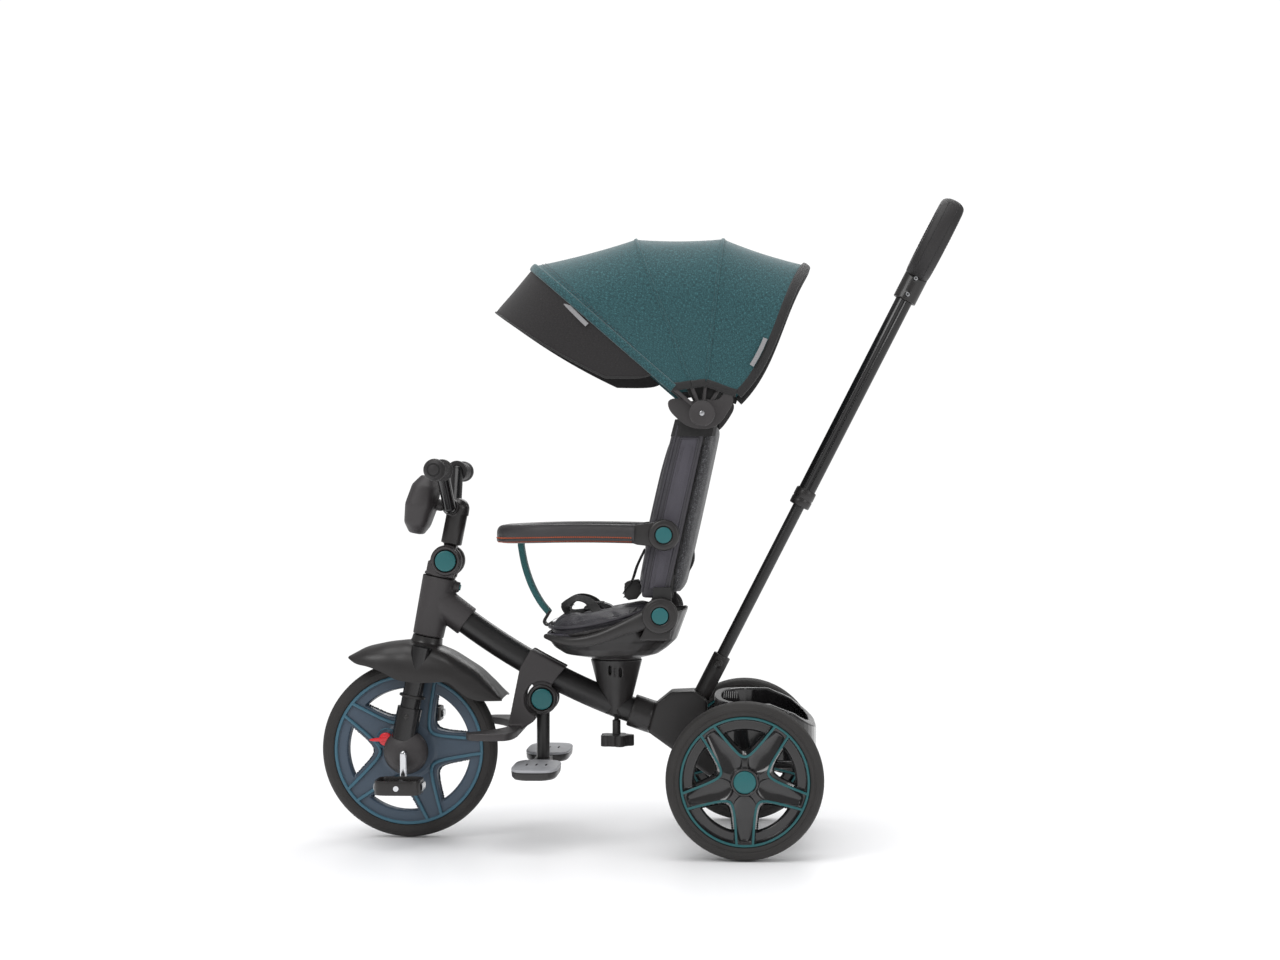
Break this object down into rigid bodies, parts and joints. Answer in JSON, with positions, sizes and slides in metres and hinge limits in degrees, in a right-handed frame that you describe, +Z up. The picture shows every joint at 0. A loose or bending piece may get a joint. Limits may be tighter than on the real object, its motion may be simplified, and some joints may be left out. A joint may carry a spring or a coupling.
{
  "type": "children's tricycle",
  "caption": "Push tricycle for a small child: swivelling and reclining padded seat, folding canopy, safety bar, telescopic push bar, pedals and foot pegs.",
  "frame": {"origin": "on the ground, under the middle of the whole trike's box", "axes": "-X forward (front wheel), +X back (push bar), +Z up, +Y to the child's left"},
  "size_m": [1.0903, 0.4902, 1.0839],
  "materials": {
    "tube": "satin",
    "plastic": "satin moulded",
    "plastic_grey": "fine textured",
    "plastic_gloss": "glossy moulded",
    "teal": "satin moulded",
    "red": "glossy moulded",
    "blue_rim": "satin moulded",
    "tyre": "matte",
    "chrome": "polished",
    "grip": "soft ribbed",
    "pad_grey": "ribbed",
    "leather": "fine grain, padded",
    "melange": "woven melange",
    "canopy_cloth": "woven melange",
    "visor_cloth": "plain woven",
    "webbing": "woven webbing",
    "teal_webbing": "woven webbing"
  },
  "bodies": {
    "frame": {"main_tube": "tube", "head_casing": "plastic_grey", "rear_casing": "plastic", "rear_axle": "chrome", "rear_tray": "plastic_gloss", "push_socket": "plastic", "push_lower_tube": "tube", "peg_bracket": "plastic_grey", "seat_pedestal": "plastic", "footrest": "plastic_grey"},
    "head_latch": {"head_button": "teal"},
    "knob": {"seat_knob": "plastic"},
    "steering": {"steering_column": "plastic_grey", "fork_legs": "tube", "hub_covers": "plastic_grey", "fender": "plastic"},
    "lever": {"clutch_lever": "red"},
    "front_wheel": {"front_tyre": "tyre", "front_rim": "blue_rim"},
    "crank": {"crank_axle": "chrome"},
    "pedal_left": {"pedal_left": "plastic"},
    "pedal_right": {"pedal_right": "plastic"},
    "handlebar": {"stem": "plastic", "handlebar": "tube", "grips": "grip", "sound_pod": "plastic_grey"},
    "fold_latch": {"fold_button": "teal"},
    "rear_wheel_left": {"rear_tyre_left": "tyre", "rear_rim_left": "plastic", "rear_cap_left": "teal"},
    "rear_wheel_right": {"rear_tyre_right": "tyre", "rear_rim_right": "plastic", "rear_cap_right": "teal"},
    "foot_pegs": {"peg_bar": "tube", "peg_pads": "pad_grey"},
    "peg_latch": {"peg_button": "teal"},
    "seat": {"seat_turntable": "plastic", "seat_shell": "plastic", "recline_brackets": "plastic", "seat_cushion": "leather", "lap_harness": "webbing", "recline_button": "teal"},
    "back": {"back_frame": "tube", "back_shell": "plastic", "back_pad": "leather", "back_cover": "melange", "shoulder_harness": "webbing"},
    "guard": {"guard_bar": "tube", "guard_cover": "leather", "guard_button": "teal"},
    "strap": {"crotch_strap": "teal_webbing"},
    "canopy": {"canopy_brackets": "plastic_grey"},
    "hoop_3": {"hoop_3": "plastic_grey"},
    "hoop_2": {"hoop_2": "plastic_grey"},
    "front_hoop": {"front_hoop": "plastic_grey", "canopy_panels": "canopy_cloth", "canopy_visor": "visor_cloth"},
    "push_handle": {"push_upper_tube": "tube", "push_clamp": "plastic", "handle_loop": "grip"}
  },
  "joints": [
    {"name": "steer", "type": "hinge", "parent": "frame", "child": "steering", "pos_m": [-0.401, 0, 0.15], "axis": [0.1959, 0, 0.9806], "range_deg": [-25, 25]},
    {"name": "front_wheel_spin", "type": "hinge", "parent": "steering", "child": "front_wheel", "pos_m": [-0.393, 0, 0.15], "axis": [0, 1, 0], "continuous": true},
    {"name": "crank_spin", "type": "hinge", "parent": "steering", "child": "crank", "pos_m": [-0.393, 0, 0.15], "axis": [0, 1, 0], "continuous": true},
    {"name": "pedal_left_spin", "type": "hinge", "parent": "crank", "child": "pedal_left", "pos_m": [-0.393, -0.001, 0.102], "axis": [0, 1, 0], "continuous": true},
    {"name": "pedal_right_spin", "type": "hinge", "parent": "crank", "child": "pedal_right", "pos_m": [-0.393, 0.001, 0.198], "axis": [0, 1, 0], "continuous": true},
    {"name": "clutch", "type": "hinge", "parent": "steering", "child": "lever", "pos_m": [-0.393, 0, 0.15], "axis": [0, 1, 0], "range_deg": [0, 20]},
    {"name": "handlebar_fold", "type": "hinge", "parent": "steering", "child": "handlebar", "pos_m": [-0.32869, 0, 0.47106], "axis": [0, -1, 0], "range_deg": [0, 75]},
    {"name": "fold_button_press", "type": "slide", "parent": "steering", "child": "fold_latch", "axis": [0, 1, 0], "range_m": [0, 0.003], "stiffness_N_per_m": 200},
    {"name": "head_button_press", "type": "slide", "parent": "frame", "child": "head_latch", "axis": [-0.9806, 0, 0.1959], "range_m": [0, 0.003], "stiffness_N_per_m": 200},
    {"name": "rear_wheel_left_spin", "type": "hinge", "parent": "frame", "child": "rear_wheel_left", "pos_m": [0.178, -0.22, 0.127], "axis": [0, 1, 0], "continuous": true},
    {"name": "rear_wheel_right_spin", "type": "hinge", "parent": "frame", "child": "rear_wheel_right", "pos_m": [0.178, 0.22, 0.127], "axis": [0, 1, 0], "continuous": true},
    {"name": "peg_fold", "type": "hinge", "parent": "frame", "child": "foot_pegs", "pos_m": [-0.165, 0, 0.23756], "axis": [0, -1, 0], "range_deg": [0, 42]},
    {"name": "peg_button_press", "type": "slide", "parent": "frame", "child": "peg_latch", "axis": [0, 1, 0], "range_m": [0, 0.003], "stiffness_N_per_m": 200},
    {"name": "seat_knob_turn", "type": "hinge", "parent": "frame", "child": "knob", "pos_m": [-0.04, 0, 0.2], "axis": [0, 0, 1], "continuous": true},
    {"name": "push_bar_height", "type": "slide", "parent": "frame", "child": "push_handle", "axis": [-0.4555, 0, -0.8902], "range_m": [0, 0.2]},
    {"name": "seat_swivel", "type": "hinge", "parent": "frame", "child": "seat", "pos_m": [-0.04, 0, 0.309], "axis": [0, 0, 1], "continuous": true},
    {"name": "recline", "type": "hinge", "parent": "seat", "child": "back", "pos_m": [0.04, 0, 0.386], "axis": [0, 1, 0], "range_deg": [0, 25]},
    {"name": "guard_tilt", "type": "hinge", "parent": "back", "child": "guard", "pos_m": [0.046, 0, 0.518], "axis": [0, 1, 0], "range_deg": [-20, 0]},
    {"name": "strap_tilt", "type": "hinge", "parent": "guard", "child": "strap", "pos_m": [-0.209, 0, 0.502], "axis": [0, 1, 0], "range_deg": [0, 18]},
    {"name": "canopy_tilt", "type": "hinge", "parent": "back", "child": "canopy", "pos_m": [0.109, 0, 0.716], "axis": [0, 1, 0], "range_deg": [-25, 0]},
    {"name": "canopy_fold", "type": "hinge", "parent": "canopy", "child": "hoop_3", "pos_m": [0.109, 0, 0.716], "axis": [0, 1, 0], "range_deg": [0, 24], "deforming": ["canopy_panels"]},
    {"name": "hoop_2_fold", "type": "hinge", "parent": "hoop_3", "child": "hoop_2", "pos_m": [0.109, 0, 0.716], "axis": [0, 1, 0], "range_deg": [0, 24]},
    {"name": "front_hoop_fold", "type": "hinge", "parent": "hoop_2", "child": "front_hoop", "pos_m": [0.109, 0, 0.716], "axis": [0, 1, 0], "range_deg": [0, 24]}
  ],
  "couplings": [
    {"joint": "crank_spin", "follows": "front_wheel_spin", "ratio": 1},
    {"joint": "guard_tilt", "follows": "recline", "ratio": -0.768},
    {"joint": "strap_tilt", "follows": "recline", "ratio": 0.7},
    {"joint": "canopy_tilt", "follows": "recline", "ratio": -1},
    {"joint": "hoop_2_fold", "follows": "canopy_fold", "ratio": 1},
    {"joint": "front_hoop_fold", "follows": "canopy_fold", "ratio": 1}
  ]
}
